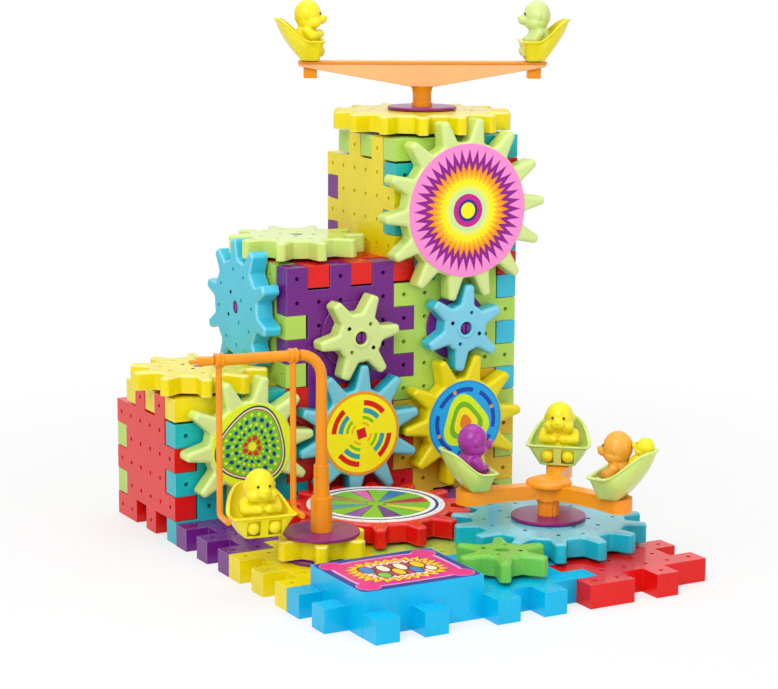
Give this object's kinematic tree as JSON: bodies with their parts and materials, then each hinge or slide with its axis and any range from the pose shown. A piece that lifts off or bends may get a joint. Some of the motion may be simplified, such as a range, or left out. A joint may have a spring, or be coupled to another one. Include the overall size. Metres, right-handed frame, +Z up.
{
  "type": "gear building set with motor",
  "caption": "Interlocking square tiles form a base and three stepped towers carrying a motor-driven train of plastic gears with a seesaw, a swing and a carousel.",
  "frame": {"origin": "centre of the bounding box, on the surface that the toy stands on", "axes": "+X to the right along the towers' front, +Y to the back, +Z up"},
  "size_m": [0.2404, 0.251, 0.2481],
  "materials": {
    "purple": "glossy injection-moulded plastic",
    "yellow": "glossy injection-moulded plastic",
    "red": "glossy injection-moulded plastic",
    "lime": "glossy injection-moulded plastic",
    "teal": "glossy injection-moulded plastic",
    "cyan": "glossy injection-moulded plastic",
    "amber": "glossy injection-moulded plastic",
    "blue": "glossy injection-moulded plastic",
    "green": "glossy injection-moulded plastic",
    "orange": "glossy injection-moulded plastic",
    "steel": "drawn can and plain shaft",
    "dark": "printed sleeve, satin"
  },
  "bodies": {
    "structure": {"base_tile_left_back": "purple", "base_tile_left_front": "yellow", "base_tile_mid_back": "red", "base_tile_mid_front": "lime", "base_tile_right_back": "purple", "base_tile_right_mid": "teal", "base_tile_right_front": "red", "low_tower_left_wall": "red", "low_tower_front_wall": "teal", "low_tower_back_wall": "lime", "low_tower_top": "yellow", "mid_tower_front_lower_wall": "red", "mid_tower_front_upper_wall": "purple", "mid_tower_left_wall": "lime", "mid_tower_back_lower_wall": "yellow", "mid_tower_back_upper_wall": "teal", "mid_tower_top": "red", "high_tower_front_lower_wall": "amber", "high_tower_front_middle_wall": "lime", "high_tower_front_upper_wall": "teal", "high_tower_left_wall": "yellow", "high_tower_back_lower_wall": "red", "high_tower_back_middle_wall": "amber", "high_tower_back_upper_wall": "purple", "high_tower_right_lower_wall": "lime", "high_tower_right_middle_wall": "cyan", "high_tower_right_upper_wall": "red", "high_tower_top": "lime", "motor_housing": "blue", "battery_cover": "blue", "battery_pair": "dark", "motor": "steel"},
    "carousel_turning": {"carousel_gear": "teal", "carousel_arms": "orange", "carousel_back_seat": "lime", "carousel_left_seat": "lime", "carousel_front_seat": "lime"},
    "drive_turning": {"drive_gear": "green", "drive_spindle": "steel"},
    "idler_turning": {"idler_gear": "red"},
    "swing_turning": {"swing_gear": "yellow", "swing_pole": "orange"},
    "mid_tower_lower_turning": {"mid_tower_lower_gear": "teal"},
    "low_tower_front_turning": {"low_tower_front_gear": "lime"},
    "high_tower_lower_turning": {"high_tower_lower_gear": "yellow"},
    "mid_tower_upper_turning": {"mid_tower_upper_gear": "lime"},
    "high_tower_middle_turning": {"high_tower_middle_gear": "cyan"},
    "high_tower_upper_turning": {"high_tower_upper_gear": "lime"},
    "seesaw_turning": {"seesaw_gear": "yellow", "seesaw_beam": "orange", "seesaw_left_seat": "yellow", "seesaw_right_seat": "yellow", "seesaw_left_figure": "yellow", "seesaw_right_figure": "lime"},
    "low_tower_top_turning": {"low_tower_top_gear": "yellow"},
    "mid_tower_side_turning": {"mid_tower_side_gear": "cyan"},
    "mid_tower_top_turning": {"mid_tower_top_gear": "lime"},
    "swing_hanging": {"swing_hanger": "orange", "swing_seat": "yellow"},
    "switch_sliding": {"power_switch": "dark"}
  },
  "joints": [
    {"name": "carousel_spin", "type": "hinge", "parent": "structure", "child": "carousel_turning", "pos_m": [0.04235, -0.05676, 0.012], "axis": [0, 0, 1], "continuous": true},
    {"name": "drive_spin", "type": "hinge", "parent": "structure", "child": "drive_turning", "pos_m": [-0.00365, -0.09126, 0.012], "axis": [0, 0, 1], "continuous": true},
    {"name": "idler_spin", "type": "hinge", "parent": "structure", "child": "idler_turning", "pos_m": [-0.01515, 0.00074, 0.012], "axis": [0, 0, 1], "continuous": true},
    {"name": "swing_spin", "type": "hinge", "parent": "structure", "child": "swing_turning", "pos_m": [-0.06114, -0.03376, 0.012], "axis": [0, 0, 1], "continuous": true},
    {"name": "mid_tower_lower_spin", "type": "hinge", "parent": "structure", "child": "mid_tower_lower_turning", "pos_m": [-0.00365, 0.04524, 0.046], "axis": [0, -1, 0], "continuous": true},
    {"name": "low_tower_front_spin", "type": "hinge", "parent": "structure", "child": "low_tower_front_turning", "pos_m": [-0.06114, 0.04524, 0.046], "axis": [0, -1, 0], "continuous": true},
    {"name": "high_tower_lower_spin", "type": "hinge", "parent": "structure", "child": "high_tower_lower_turning", "pos_m": [0.05385, 0.04524, 0.046], "axis": [0, -1, 0], "continuous": true},
    {"name": "mid_tower_upper_spin", "type": "hinge", "parent": "structure", "child": "mid_tower_upper_turning", "pos_m": [-0.00365, 0.04524, 0.092], "axis": [0, -1, 0], "continuous": true},
    {"name": "high_tower_middle_spin", "type": "hinge", "parent": "structure", "child": "high_tower_middle_turning", "pos_m": [0.05385, 0.04524, 0.092], "axis": [0, -1, 0], "continuous": true},
    {"name": "high_tower_upper_spin", "type": "hinge", "parent": "structure", "child": "high_tower_upper_turning", "pos_m": [0.05385, 0.04524, 0.1495], "axis": [0, -1, 0], "continuous": true},
    {"name": "seesaw_spin", "type": "hinge", "parent": "structure", "child": "seesaw_turning", "pos_m": [0.05385, 0.08124, 0.1855], "axis": [0, 0, 1], "continuous": true},
    {"name": "low_tower_top_spin", "type": "hinge", "parent": "structure", "child": "low_tower_top_turning", "pos_m": [-0.07265, 0.06974, 0.0705], "axis": [0, 0, 1], "continuous": true},
    {"name": "mid_tower_side_spin", "type": "hinge", "parent": "structure", "child": "mid_tower_side_turning", "pos_m": [-0.03965, 0.08124, 0.1035], "axis": [-1, 0, 0], "continuous": true},
    {"name": "mid_tower_top_spin", "type": "hinge", "parent": "structure", "child": "mid_tower_top_turning", "pos_m": [-0.01515, 0.08124, 0.128], "axis": [0, 0, 1], "continuous": true},
    {"name": "swing_rocks", "type": "hinge", "parent": "swing_turning", "child": "swing_hanging", "pos_m": [-0.091, -0.02957, 0.1017], "axis": [-0.9903, 0.1392, 0], "range_deg": [-20, 20]},
    {"name": "switch_slides", "type": "slide", "parent": "structure", "child": "switch_sliding", "axis": [1, 0, 0], "range_m": [0, 0.004]}
  ],
  "couplings": [
    {"joint": "drive_spin", "follows": "carousel_spin", "ratio": -2.3333},
    {"joint": "idler_spin", "follows": "carousel_spin", "ratio": -1},
    {"joint": "swing_spin", "follows": "carousel_spin", "ratio": 2.3333},
    {"joint": "mid_tower_lower_spin", "follows": "carousel_spin", "ratio": 1.4},
    {"joint": "low_tower_front_spin", "follows": "carousel_spin", "ratio": -1.4},
    {"joint": "high_tower_lower_spin", "follows": "carousel_spin", "ratio": -1.4},
    {"joint": "mid_tower_upper_spin", "follows": "carousel_spin", "ratio": -2.3333},
    {"joint": "high_tower_middle_spin", "follows": "carousel_spin", "ratio": 2.3333},
    {"joint": "high_tower_upper_spin", "follows": "carousel_spin", "ratio": -1},
    {"joint": "seesaw_spin", "follows": "carousel_spin", "ratio": 1},
    {"joint": "low_tower_top_spin", "follows": "carousel_spin", "ratio": 1.4},
    {"joint": "mid_tower_side_spin", "follows": "carousel_spin", "ratio": -1.4},
    {"joint": "mid_tower_top_spin", "follows": "carousel_spin", "ratio": 1.4}
  ]
}
